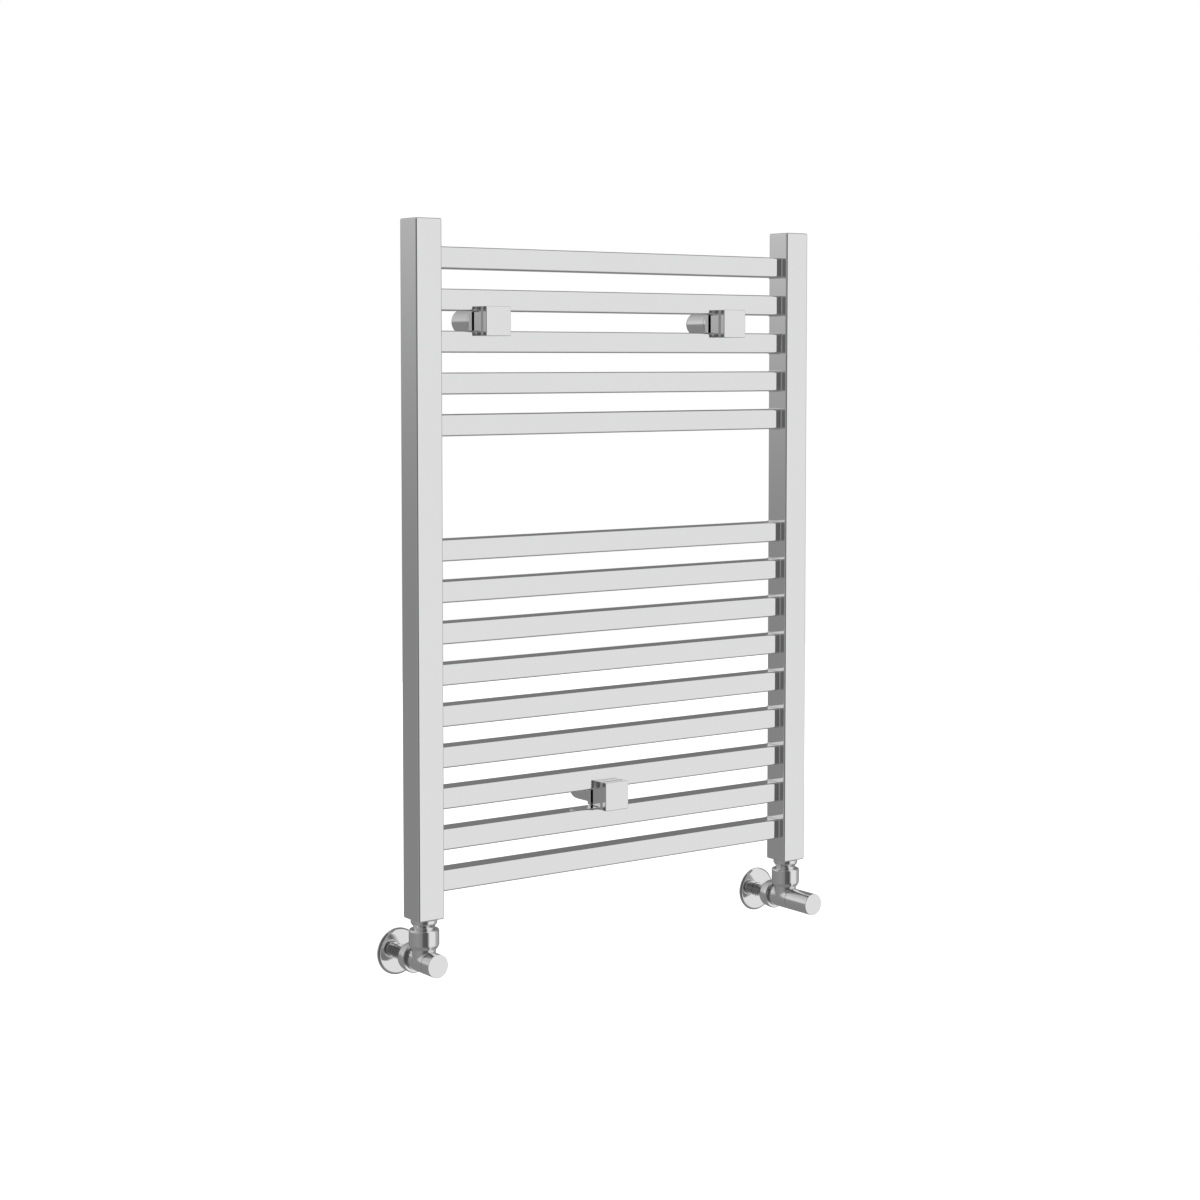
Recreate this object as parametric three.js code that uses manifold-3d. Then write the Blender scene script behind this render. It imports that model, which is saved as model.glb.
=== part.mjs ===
// A ladder towel radiator of square steel tube, with three wall brackets and two corner valves.
// Millimetres. +X runs to the right along the bars, +Y runs back to the wall, +Z is up.
// The origin lies on the wall, midway across the radiator, level with the uprights' lower ends.
import * as THREE from "three";
import { mergeVertices } from "three/addons/utils/BufferGeometryUtils.js";
import Module from "manifold-3d";

const wasm = await Module();
wasm.setup();

// ---- Driving dimensions ----

// Clearance between two pieces that touch, or that screw or slide together.
const fit = 0.3;

// The frame of two uprights.
const radiatorWidth = 500;
const radiatorHeight = 688;
const uprightWidth = 30;
const uprightDepth = 30;
const uprightWall = 1.8;
const uprightCorner = 2;
const endPlateThickness = 3;
const endPlateSpigot = 5;
const endPlateEdge = 1.6;

// The crossbars, in an upper and a lower group with a wider towel space between them.
const barHeight = 21.5;
const barDepth = 21;
const barWall = 1.5;
const barCorner = 2;
const barSetback = 9;
const barsAbove = 5;
const barsBelow = 9;
const barsLeftOut = 2;
const topMargin = 26.6;
const bottomMargin = 24.9;
const portMargin = 2.5;

// The wall, and how far the radiator stands off it.
const wallGap = 36;

// The brackets: a socket on the wall, a sliding stem with its jaw behind two bars, and a
// square clamp in front of them. A tongue on each comes between the bars, with a gap left
// between the two tongues, so that the bolt can draw the jaw and the clamp together.
const socketRadius = 12.75;
const socketWall = 2.45;
const socketBase = 3;
const socketScrewRadius = 2.5;
const socketChamfer = 2.2;
const socketChamferLength = 3.5;
const jawRadius = 12.75;
const jawThickness = 3.7;
const stemTravelLeft = 3;
const tongueWidth = 25.4;
const jawTongueLength = 5;
const tongueGap = 4.2;
const clampSize = 29.4;
const clampThickness = 5.1;
const clampGroove = 2;
const clampCorner = 1;
const capThickness = 7.3;
const capEdge = 0.8;
const boltRadius = 3;
const boltHeadRadius = 5.2;
const boltHeadThickness = 2.9;
const boltReach = 26;
const boltKeyRadius = 2.3;
const grubRadius = 2;
const grubSetback = 6;
const grubKeyRadius = 1.1;
const leftBracketInset = 93;
const rightBracketInset = 105.7;
const lowerBracketShift = -11.3;
const lowerBracketLift = 2.9;

// The air vent, in the back of the left upright.
const ventDrop = 24;
const ventThreadRadius = 9;
const ventThreadLength = 8;
const ventFlangeRadius = 11.5;
const ventFlangeThickness = 2.2;
const ventScrewRadius = 2.2;
const ventKeySize = 3.6;
const ventKeyLength = 1.2;

// The valves: their bodies, and the fittings that join them to the radiator and the pipes.
const valveDrop = 43;
const bodyRadius = 11.7;
const outletRadius = 11.8;
const outletBore = 6.5;
const bodyThreadRadius = 12.4;
const bodyFrontReach = 12.5;
const bodyBackReach = 23;
const chamberRadius = 8.5;
const seatReach = 6;
const seatBore = 6;
const pipeRadius = 7.5;
const pipeWall = 1;
const pipeInsert = 8.6;
const collarRadius = 13.3;
const collarHeight = 4;
const collarChamfer = 3.8;
const tailRadius = 10.5;
const tailThreadRadius = 9.2;
const tailThreadLength = 11;
const tailFlangeRadius = 12.4;
const tailFlangeThickness = 3.2;
const tailConeHeight = 2;
const unionRadius = 15.2;
const unionDrop = 9;
const unionHeight = 20.5;
const unionShoulder = 5.7;
const unionTopRadius = 12.2;
const unionTopWall = 6;
const unionFoot = 3.5;
const unionFootRadius = 13.4;
const backNutRadius = 15.2;
const backNutReach = 15.5;
const backNutLength = 19.7;
const backNutLand = 4;
const backNutTaper = 8;
const backNutShoulderRadius = 14.4;
const backNutTailRadius = 9.4;
const backNutChamfer = 0.8;
const rosetteRadius = 23.7;
const rosetteRim = 1.2;
const rosetteHeight = 2.6;
const rosetteChamfer = 2;
const bossRadius = 12;
const bossHeight = 12;

// The valves' insides.
const bonnetLength = 9.2;
const bonnetHeadRadius = 9.8;
const bonnetHeadThickness = 3.7;
const bonnetWellRadius = 5.3;
const bonnetWellDepth = 7;
const spindleRadius = 3;
const discRadius = 7.5;
const discThickness = 3;
const discStemLength = 6.5;
const discTravel = 4;
const discWeb = 1.5;

// The two heads: a plain lockshield cap on the left, and a longer handwheel on the right.
const headRadius = 11.7;
const headWall = 1.6;
const headEdge = 0.5;
const lockshieldLength = 13.2;
const handwheelLength = 34.2;
const handwheelSocket = 6.2;
const handwheelGrip = 12;
const lockshieldSpindleProud = 4;

// How finely round work is divided: small pieces, valve pieces, and large pieces.
const smallSteps = 12;
const valveSteps = 16;
const largeSteps = 20;
const cornerSteps = 1;
const edgeSteps = 2;

// ---- Materials ----

const finish = (name, color, roughness, metalness) =>
  new THREE.MeshStandardMaterial({ name, color, roughness, metalness });
const chrome = finish("chrome", 0xd9dadc, 0.06, 1);
const brass = finish("brass", 0xc8a85a, 0.3, 1);
const zincSteel = finish("zinc_steel", 0xa7a9ac, 0.35, 1);
const sealRubber = finish("seal_rubber", 0x1c1c1e, 0.8, 0);

// ---- Shaping helpers ----

// A closed three.js geometry as a solid.
function solidOf(geometry) {
  const bare = geometry.clone();
  bare.deleteAttribute("normal");
  bare.deleteAttribute("uv");
  const merged = mergeVertices(bare, 1e-4);
  return new wasm.Manifold(
    new wasm.Mesh({
      numProp: 3,
      vertProperties: merged.attributes.position.array,
      triVerts: new Uint32Array(merged.index.array),
    }),
  );
}

// A solid as a three.js geometry.
function geometryOf(solid) {
  const { vertProperties, triVerts } = solid.getMesh();
  const geometry = new THREE.BufferGeometry();
  geometry.setAttribute("position", new THREE.BufferAttribute(vertProperties, 3));
  geometry.setIndex(new THREE.BufferAttribute(triVerts, 1));
  geometry.computeVertexNormals();
  return geometry;
}

// A rectangle with round corners, centred on its own origin.
function roundedRectangle(width, height, corner) {
  const x = width / 2;
  const y = height / 2;
  const shape = new THREE.Shape();
  shape.moveTo(x, -y + corner);
  shape.absarc(x - corner, y - corner, corner, 0, Math.PI / 2);
  shape.absarc(-x + corner, y - corner, corner, Math.PI / 2, Math.PI);
  shape.absarc(-x + corner, -y + corner, corner, Math.PI, Math.PI * 1.5);
  shape.absarc(x - corner, -y + corner, corner, Math.PI * 1.5, Math.PI * 2);
  return shape;
}

// A shape drawn on X and Y, pushed up along +Z from zero. An edge softens both of its ends.
function pushedUp(shape, length, edge = 0) {
  const geometry = new THREE.ExtrudeGeometry(shape, {
    depth: length - 2 * edge,
    curveSegments: cornerSteps,
    bevelEnabled: edge > 0,
    bevelThickness: edge,
    bevelSize: edge,
    bevelOffset: -edge,
    bevelSegments: edgeSteps,
  });
  geometry.translate(0, 0, edge);
  return geometry;
}

// Turns work that stands along Z so that it runs towards the wall, along +Y.
const towardsWall = (geometry) => geometry.rotateX(-Math.PI / 2);

// Turns work that stands along Z so that it runs along +X, with its width along Y.
const alongBars = (geometry) =>
  geometry.applyMatrix4(
    new THREE.Matrix4().makeBasis(
      new THREE.Vector3(0, 1, 0),
      new THREE.Vector3(0, 0, 1),
      new THREE.Vector3(1, 0, 0),
    ),
  );

// Round work turned about Y. The outline lists [radius, y] and closes on itself.
function turned(outline, steps) {
  const points = outline.map(([radius, y]) => new THREE.Vector2(radius, y));
  if (THREE.ShapeUtils.area(points) < 0) points.reverse();
  points.push(points[0].clone());
  return new THREE.LatheGeometry(points, steps);
}

// Round work turned about Z instead. The outline lists [radius, z].
const turnedUpright = (outline, steps) => turned(outline, steps).rotateX(Math.PI / 2);

// A plain round bar about Y between two places, as used for holes.
const roundBar = (radius, from, to, steps) =>
  solidOf(
    turned(
      [
        [0, from],
        [radius, from],
        [radius, to],
        [0, to],
      ],
      steps,
    ),
  );

// The same about Z.
const roundPost = (radius, from, to, steps) =>
  solidOf(
    turnedUpright(
      [
        [0, from],
        [radius, from],
        [radius, to],
        [0, to],
      ],
      steps,
    ),
  );

// A six-sided key hole along Y.
const keyHole = (radius, from, to) => roundBar(radius, from, to, 6);

// A box between two corners.
function block([x0, y0, z0], [x1, y1, z1]) {
  const geometry = new THREE.BoxGeometry(x1 - x0, y1 - y0, z1 - z0);
  geometry.translate((x0 + x1) / 2, (y0 + y1) / 2, (z0 + z1) / 2);
  return solidOf(geometry);
}

const radiator = new THREE.Group();
radiator.name = "radiator_with_valves";

// Adds a piece to a group. What it is made of may be a solid or a plain geometry.
function add(group, name, made, material) {
  const geometry = made.isBufferGeometry ? made : geometryOf(made);
  const mesh = new THREE.Mesh(geometry, material);
  mesh.name = name;
  group.add(mesh);
  return mesh;
}

// A named place in the radiator, at which a set of pieces is built.
function place(name, x, y, z) {
  const group = new THREE.Group();
  group.name = name;
  group.position.set(x, y, z);
  radiator.add(group);
  return group;
}

// ---- Places that several pieces share ----

const uprightFront = -(wallGap + uprightDepth);
const uprightAxisX = radiatorWidth / 2 - uprightWidth / 2;
const uprightAxisY = uprightFront + uprightDepth / 2;
const barFront = uprightFront + barSetback;
const barBack = barFront + barDepth;
const barAxisY = (barFront + barBack) / 2;
const barReach = radiatorWidth / 2 - uprightWidth - fit;

// Bars stand at even steps down the uprights. The positions left out make the wide space.
const barPositions = [];
for (let bar = 0; bar < barsAbove + barsBelow; bar += 1)
  barPositions.push(bar < barsAbove ? bar : bar + barsLeftOut);
const topBarMiddle = radiatorHeight - topMargin - barHeight / 2;
const bottomBarMiddle = bottomMargin + barHeight / 2;
const barPitch = (topBarMiddle - bottomBarMiddle) / barPositions.at(-1);

// The middle height of the bar in each position, counted down from the top.
const barMiddle = (position) => topBarMiddle - position * barPitch;

// ---- The uprights and their end plates ----

// The square tube, with a water port behind each bar.
function uprightSolid(side) {
  const outer = roundedRectangle(uprightWidth, uprightDepth, uprightCorner);
  const inner = roundedRectangle(
    uprightWidth - 2 * uprightWall,
    uprightDepth - 2 * uprightWall,
    Math.max(uprightCorner - uprightWall, fit / 2),
  );
  outer.holes.push(inner);
  const tubeStart = endPlateThickness + fit;
  const tubeLength = radiatorHeight - 2 * tubeStart;
  let tube = solidOf(pushedUp(outer, tubeLength).translate(0, 0, tubeStart));
  const innerSide = (-side * uprightWidth) / 2;
  const portHeight = barHeight - 2 * (barWall + portMargin);
  const portDepth = barDepth - 2 * (barWall + portMargin);
  const portX = [innerSide - uprightWall - 1, innerSide + uprightWall + 1];
  const portY = barAxisY - uprightAxisY;
  for (const position of barPositions) {
    const z = barMiddle(position);
    tube = tube.subtract(
      block(
        [portX[0], portY - portDepth / 2, z - portHeight / 2],
        [portX[1], portY + portDepth / 2, z + portHeight / 2],
      ),
    );
  }
  return tube;
}

// The plate that closes a tube's end: a softened plate with a spigot inside the tube.
function endPlateSolid() {
  const outline = roundedRectangle(uprightWidth, uprightDepth, uprightCorner);
  const edge = Math.min(endPlateEdge, 0.8 * uprightCorner);
  const softened = solidOf(pushedUp(outline, 2 * endPlateThickness, edge));
  const half = uprightWidth + uprightDepth;
  const plate = softened.subtract(block([-half, -half, -1], [half, half, endPlateThickness]));
  const spigotWidth = uprightWidth - 2 * (uprightWall + fit);
  const spigotDepth = uprightDepth - 2 * (uprightWall + fit);
  const spigotTop = endPlateThickness + fit;
  const spigot = block(
    [-spigotWidth / 2, -spigotDepth / 2, spigotTop - fit - endPlateSpigot],
    [spigotWidth / 2, spigotDepth / 2, spigotTop],
  );
  return plate.add(spigot).translate(0, 0, -2 * endPlateThickness);
}

// The lower plate carries the threaded boss that the valve's tailpiece screws into.
function lowerPlateSolid() {
  const boss = roundPost(bossRadius, -endPlateThickness, bossHeight, valveSteps);
  const hole = roundPost(
    tailThreadRadius + fit,
    -2 * endPlateThickness,
    bossHeight + 1,
    valveSteps,
  );
  const plate = endPlateSolid().rotate([180, 0, 0]);
  return plate.add(boss.translate(0, 0, endPlateThickness)).subtract(hole);
}

function ventHole() {
  const z = radiatorHeight - ventDrop;
  const from = uprightDepth / 2 - uprightWall - 1;
  return roundBar(ventThreadRadius + fit, from, from + uprightWall + 2, smallSteps).translate(0, 0, z);
}

for (const [name, side] of [
  ["left", -1],
  ["right", 1],
]) {
  const upright = place(name + "_upright_place", side * uprightAxisX, uprightAxisY, 0);
  const tube = uprightSolid(side);
  add(upright, name + "_upright", side < 0 ? tube.subtract(ventHole()) : tube, chrome);
  const top = add(upright, name + "_top_plate", endPlateSolid(), chrome);
  top.position.z = radiatorHeight;
  add(upright, name + "_bottom_plate", lowerPlateSolid(), chrome);
}

// ---- The crossbars ----

barPositions.forEach((position, index) => {
  const outer = roundedRectangle(barDepth, barHeight, barCorner);
  outer.holes.push(
    roundedRectangle(
      barDepth - 2 * barWall,
      barHeight - 2 * barWall,
      Math.max(barCorner - barWall, fit),
    ),
  );
  const bar = alongBars(pushedUp(outer, 2 * barReach));
  const name = "crossbar_" + String(index + 1).padStart(2, "0");
  add(radiator, name, bar, chrome).position.set(-barReach, barAxisY, barMiddle(position));
});

// ---- The air vent ----

const vent = place(
  "vent_place",
  -uprightAxisX,
  uprightFront + uprightDepth,
  radiatorHeight - ventDrop,
);
const ventFace = fit + ventFlangeThickness;
add(
  vent,
  "vent_plug",
  turned(
    [
      [ventScrewRadius + fit, -ventThreadLength],
      [ventThreadRadius, -ventThreadLength],
      [ventThreadRadius, fit],
      [ventFlangeRadius, fit],
      [ventFlangeRadius, ventFace],
      [ventScrewRadius + fit, ventFace],
    ],
    smallSteps,
  ),
  chrome,
);
const ventHead = towardsWall(
  pushedUp(roundedRectangle(ventKeySize, ventKeySize, fit), ventKeyLength),
);
add(
  vent,
  "vent_screw",
  solidOf(ventHead.translate(0, ventFace, 0)).add(
    roundBar(ventScrewRadius, 1 - ventThreadLength, ventFace, smallSteps),
  ),
  zincSteel,
);

// ---- The wall brackets ----

const stemRadius = socketRadius - socketWall - fit;
const jawFront = barBack + fit;
const jawBack = jawFront + jawThickness;
const jawTongueFront = jawFront - jawTongueLength;
const clampTongueBack = jawTongueFront - tongueGap;
const socketFront = jawBack + fit;
const stemBack = -(socketBase + stemTravelLeft);
const clampBack = barFront - fit;
const clampFront = clampBack - clampThickness;
const capBack = clampFront - fit;
const capFront = capBack - capThickness;
const boltHeadFront = clampFront + fit;
const boltHeadBack = boltHeadFront + boltHeadThickness;

// The cup on the wall, with a hole for its wall screw and one for the locking grub screw.
function socketSolid() {
  const cup = solidOf(
    turned(
      [
        [socketScrewRadius, 0],
        [socketRadius - socketChamfer, 0],
        [socketRadius, -socketChamferLength],
        [socketRadius, socketFront],
        [socketRadius - socketWall, socketFront],
        [socketRadius - socketWall, -socketBase],
        [socketScrewRadius, -socketBase],
      ],
      largeSteps,
    ),
  );
  const grubHole = roundPost(grubRadius + fit, -socketRadius - 1, 0, smallSteps);
  return cup.subtract(grubHole.translate(0, socketFront + grubSetback, 0));
}

// The block that comes between two bars. The spaces are measured from the bracket's axis.
const tongueSolid = (from, to, spaceBelow, spaceAbove) =>
  block([-tongueWidth / 2, from, -(spaceBelow - fit)], [tongueWidth / 2, to, spaceAbove - fit]);

// The sliding stem: its jaw bears on the backs of the bars, and its tongue is bored for the bolt.
function stemSolid(spaceBelow, spaceAbove) {
  const stem = solidOf(
    turned(
      [
        [0, stemBack],
        [stemRadius, stemBack],
        [stemRadius, jawBack],
        [jawRadius, jawBack],
        [jawRadius, jawFront],
        [0, jawFront],
      ],
      largeSteps,
    ),
  );
  const tongue = tongueSolid(jawTongueFront, jawFront, spaceBelow, spaceAbove);
  const boreEnd = boltHeadBack + boltReach + 1;
  const bore = roundBar(boltRadius + fit, jawTongueFront - 1, boreEnd, smallSteps);
  return stem.add(tongue).subtract(bore);
}

// A square plate about Y whose rim is cut back on one face, or softened on both.
function squarePlate(back, front, corner, edge) {
  const plate = pushedUp(roundedRectangle(clampSize, clampSize, corner), back - front, edge);
  return solidOf(towardsWall(plate).translate(0, front, 0));
}

// Half of the V-shaped groove round the clamp: a square taper from full size at one face.
function grooveTaper(full, small) {
  const half = clampSize / 2;
  const slim = half - clampGroove;
  const depth = Math.abs(full - small);
  const taper = new THREE.CylinderGeometry(
    slim * Math.SQRT2,
    half * Math.SQRT2,
    depth,
    4,
    1,
  );
  taper.rotateY(Math.PI / 4);
  if (small < full) taper.rotateX(Math.PI);
  return solidOf(taper.translate(0, (full + small) / 2, 0));
}

// The clamp: a grooved plate on the fronts of the bars, with a tongue behind it.
function clampSolid(spaceBelow, spaceAbove) {
  const grooveStart = clampFront + clampGroove;
  const plate = squarePlate(clampBack, grooveStart, clampCorner, 0);
  const rim = grooveTaper(grooveStart, clampFront);
  const tongue = tongueSolid(clampBack - 1, clampTongueBack, spaceBelow, spaceAbove);
  const headWell = roundBar(
    boltHeadRadius + fit,
    clampFront - 1,
    boltHeadBack + fit,
    smallSteps,
  );
  const shankHole = roundBar(boltRadius + fit, clampFront, clampTongueBack + 1, smallSteps);
  return plate.add(rim).add(tongue).subtract(headWell).subtract(shankHole);
}

function capSolid() {
  const grooveStart = capBack - clampGroove;
  const whole = squarePlate(capBack + clampGroove, capFront, clampCorner, capEdge);
  const half = clampSize;
  const face = whole.subtract(block([-half, grooveStart, -half], [half, capBack + half, half]));
  const rim = grooveTaper(grooveStart, capBack);
  const well = roundBar(boltHeadRadius + fit, grooveStart, capBack + 1, smallSteps);
  return face.add(rim).subtract(well);
}

function boltSolid() {
  const shape = solidOf(
    turned(
      [
        [0, boltHeadFront],
        [boltHeadRadius, boltHeadFront],
        [boltHeadRadius, boltHeadBack],
        [boltRadius, boltHeadBack],
        [boltRadius, boltHeadBack + boltReach],
        [0, boltHeadBack + boltReach],
      ],
      smallSteps,
    ),
  );
  return shape.subtract(
    keyHole(boltKeyRadius, boltHeadFront - 1, boltHeadFront + boltHeadThickness / 2),
  );
}

function grubSolid() {
  const top = -(stemRadius + fit);
  const bottom = -(socketRadius - fit / 2);
  const screw = roundPost(grubRadius, bottom, top, smallSteps);
  const key = roundPost(grubKeyRadius, bottom - 1, (bottom + top) / 2, 6);
  return screw.subtract(key);
}

// A bracket sits in the space under one bar. A lift moves it up from the middle of that space.
function addBracket(name, x, positionAbove, lift) {
  const above = barMiddle(positionAbove) - barHeight / 2;
  const below = barMiddle(positionAbove + 1) + barHeight / 2;
  const z = (above + below) / 2 + lift;
  const bracket = place(name + "_bracket", x, 0, z);
  add(bracket, name + "_wall_socket", socketSolid(), chrome);
  const grub = add(bracket, name + "_grub_screw", grubSolid(), zincSteel);
  grub.position.y = socketFront + grubSetback;
  add(bracket, name + "_stem", stemSolid(z - below, above - z), chrome);
  add(bracket, name + "_clamp", clampSolid(z - below, above - z), chrome);
  add(bracket, name + "_clamp_bolt", boltSolid(), zincSteel);
  add(bracket, name + "_cap", capSolid(), chrome);
}

const upperBracketBar = 1;
const lowerBracketBar = barPositions.at(-3);
addBracket("upper_left", leftBracketInset - radiatorWidth / 2, upperBracketBar, 0);
addBracket("upper_right", radiatorWidth / 2 - rightBracketInset, upperBracketBar, 0);
addBracket("lower", lowerBracketShift, lowerBracketBar, lowerBracketLift);

// ---- The valves ----
// Places here are measured from the valve's own centre, where its two axes cross:
// y runs to the wall, and z runs up to the radiator.

const uprightEnd = valveDrop;
const bodyFront = -bodyFrontReach;
const bodyBack = bodyBackReach;
const wallFace = -uprightAxisY;
const unionTop = uprightEnd - unionDrop;
const unionBottom = unionTop - unionHeight;
const unionShelf = unionTop - unionTopWall;
const flangeTop = unionShelf - fit;
const flangeBottom = flangeTop - tailFlangeThickness;
const tailEnd = flangeBottom - tailConeHeight;
const outletTop = tailEnd - fit;
const unionBore = Math.max(tailFlangeRadius, bodyThreadRadius) + fit;
const backNutFront = backNutReach;
const backNutBack = backNutFront + backNutLength;
const backNutShelf = bodyBack + fit;
const pipeEnd = bodyBack - pipeInsert;

function bodySolid() {
  const through = roundBar(bodyRadius, bodyFront, bodyBack, valveSteps);
  const outlet = roundPost(outletRadius, 0, unionBottom, valveSteps);
  const thread = roundPost(bodyThreadRadius, unionBottom, outletTop, valveSteps);
  const chamber = roundBar(chamberRadius, bodyFront - 1, seatReach, valveSteps);
  const seat = roundBar(seatBore, 0, bodyBack, valveSteps);
  const pipeSocket = roundBar(pipeRadius + fit, pipeEnd - fit, bodyBack + 1, valveSteps);
  const outletHole = roundPost(outletBore, 0, outletTop + 1, valveSteps);
  return through
    .add(outlet)
    .add(thread)
    .subtract(chamber)
    .subtract(seat)
    .subtract(pipeSocket)
    .subtract(outletHole);
}

// Screws into the upright's boss, and seats on the body inside the union nut.
const tailpieceShape = () =>
  turnedUpright(
    [
      [outletBore, uprightEnd + tailThreadLength],
      [tailThreadRadius, uprightEnd + tailThreadLength],
      [tailThreadRadius, uprightEnd - fit],
      [collarRadius, uprightEnd - fit],
      [collarRadius, uprightEnd - collarHeight],
      [tailRadius, uprightEnd - collarHeight - collarChamfer],
      [tailRadius, flangeTop],
      [tailFlangeRadius, flangeTop],
      [tailFlangeRadius, flangeBottom],
      [tailRadius, tailEnd],
      [outletBore, tailEnd],
    ],
    valveSteps,
  );

const unionNutShape = () =>
  turnedUpright(
    [
      [tailRadius + fit, unionTop],
      [unionTopRadius, unionTop],
      [unionRadius, unionTop - unionShoulder],
      [unionRadius, unionBottom + unionFoot],
      [unionFootRadius, unionBottom],
      [unionBore, unionBottom],
      [unionBore, unionShelf],
      [tailRadius + fit, unionShelf],
    ],
    valveSteps,
  );

// Squeezes the pipe into the body, and tapers back along the pipe.
const backNutShape = () =>
  turned(
    [
      [bodyRadius + fit, backNutFront],
      [backNutRadius - backNutChamfer, backNutFront],
      [backNutRadius, backNutFront + backNutChamfer],
      [backNutRadius, backNutFront + backNutLand],
      [backNutShoulderRadius, backNutBack - backNutTaper],
      [backNutTailRadius, backNutBack],
      [pipeRadius + fit, backNutBack],
      [pipeRadius + fit, backNutShelf],
      [bodyRadius + fit, backNutShelf],
    ],
    valveSteps,
  );

const pipeShape = () =>
  turned(
    [
      [pipeRadius - pipeWall, pipeEnd],
      [pipeRadius, pipeEnd],
      [pipeRadius, wallFace],
      [pipeRadius - pipeWall, wallFace],
    ],
    valveSteps,
  );

const rosetteShape = () =>
  turned(
    [
      [pipeRadius + fit, wallFace],
      [rosetteRadius, wallFace],
      [rosetteRadius, wallFace - rosetteRim],
      [rosetteRadius - rosetteChamfer, wallFace - rosetteHeight],
      [pipeRadius + fit, wallFace - rosetteHeight],
    ],
    largeSteps,
  );

const bonnetBack = bodyFront + fit + bonnetLength;
const bonnetHeadBack = bodyFront - fit;
const bonnetFront = bonnetHeadBack - bonnetHeadThickness;
const discBack = seatReach - fit - discTravel;
const discFront = discBack - discThickness;
const discStemFront = discFront - discStemLength;
const spindleBack = discBack - discWeb - fit;
const headBack = bodyFront - fit;

const bonnetShape = () =>
  turned(
    [
      [spindleRadius + fit, bonnetFront],
      [bonnetHeadRadius, bonnetFront],
      [bonnetHeadRadius, bonnetHeadBack],
      [chamberRadius - fit, bonnetHeadBack],
      [chamberRadius - fit, bonnetBack],
      [bonnetWellRadius, bonnetBack],
      [bonnetWellRadius, bonnetBack - bonnetWellDepth],
      [spindleRadius + fit, bonnetBack - bonnetWellDepth],
    ],
    valveSteps,
  );

// Slides on the spindle, and closes on the seat in the body.
const discShape = () =>
  turned(
    [
      [0, discBack],
      [discRadius, discBack],
      [discRadius, discFront],
      [bonnetWellRadius - fit, discFront],
      [bonnetWellRadius - fit, discStemFront],
      [spindleRadius + fit, discStemFront],
      [spindleRadius + fit, discBack - discWeb],
      [0, discBack - discWeb],
    ],
    valveSteps,
  );

const lockshieldShape = () =>
  turned(
    [
      [0, headBack - lockshieldLength],
      [headRadius - headEdge, headBack - lockshieldLength],
      [headRadius, headBack - lockshieldLength + headEdge],
      [headRadius, headBack],
      [headRadius - headWall, headBack],
      [headRadius - headWall, headBack - lockshieldLength + headWall],
      [0, headBack - lockshieldLength + headWall],
    ],
    valveSteps,
  );

const handwheelGripBack = headBack - handwheelSocket;
const handwheelGripFront = handwheelGripBack - handwheelGrip;
const handwheelShape = () =>
  turned(
    [
      [0, headBack - handwheelLength],
      [headRadius - headEdge, headBack - handwheelLength],
      [headRadius, headBack - handwheelLength + headEdge],
      [headRadius, headBack],
      [headRadius - headWall, headBack],
      [headRadius - headWall, handwheelGripBack],
      [spindleRadius + fit, handwheelGripBack],
      [spindleRadius + fit, handwheelGripFront],
      [0, handwheelGripFront],
    ],
    valveSteps,
  );

for (const [name, side] of [
  ["left", -1],
  ["right", 1],
]) {
  const valve = place(name + "_valve_place", side * uprightAxisX, uprightAxisY, -valveDrop);
  add(valve, name + "_valve_body", bodySolid(), chrome);
  add(valve, name + "_tailpiece", tailpieceShape(), chrome);
  add(valve, name + "_union_nut", unionNutShape(), chrome);
  add(valve, name + "_compression_nut", backNutShape(), chrome);
  add(valve, name + "_pipe", pipeShape(), chrome);
  add(valve, name + "_rosette", rosetteShape(), chrome);
  add(valve, name + "_bonnet", bonnetShape(), brass);
  add(valve, name + "_valve_disc", discShape(), sealRubber);
  const isLockshield = side < 0;
  const spindleFront = isLockshield
    ? bonnetFront - lockshieldSpindleProud
    : handwheelGripFront + fit;
  const spindle = roundBar(spindleRadius, spindleFront, spindleBack, valveSteps);
  add(valve, name + "_spindle", spindle, brass);
  if (isLockshield) add(valve, "lockshield_cap", lockshieldShape(), chrome);
  else add(valve, "handwheel", handwheelShape(), chrome);
}

export default radiator;
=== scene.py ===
# %% [markdown]
# # A chromed ladder towel radiator, with its wall brackets and its two valves
#
# This lesson builds the looks of a radiator whose sizes and joints already exist. Two square
# uprights carry fourteen square crossbars. Three brackets hold the ladder off the wall, and a
# corner valve hangs from the foot of each upright. Nearly everything is chrome, and chrome has
# almost no colour of its own: what makes it look real is the softness of its edges, and what
# stands round it to be mirrored. So the lesson spends its care on rounded edges and on the light.

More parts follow.
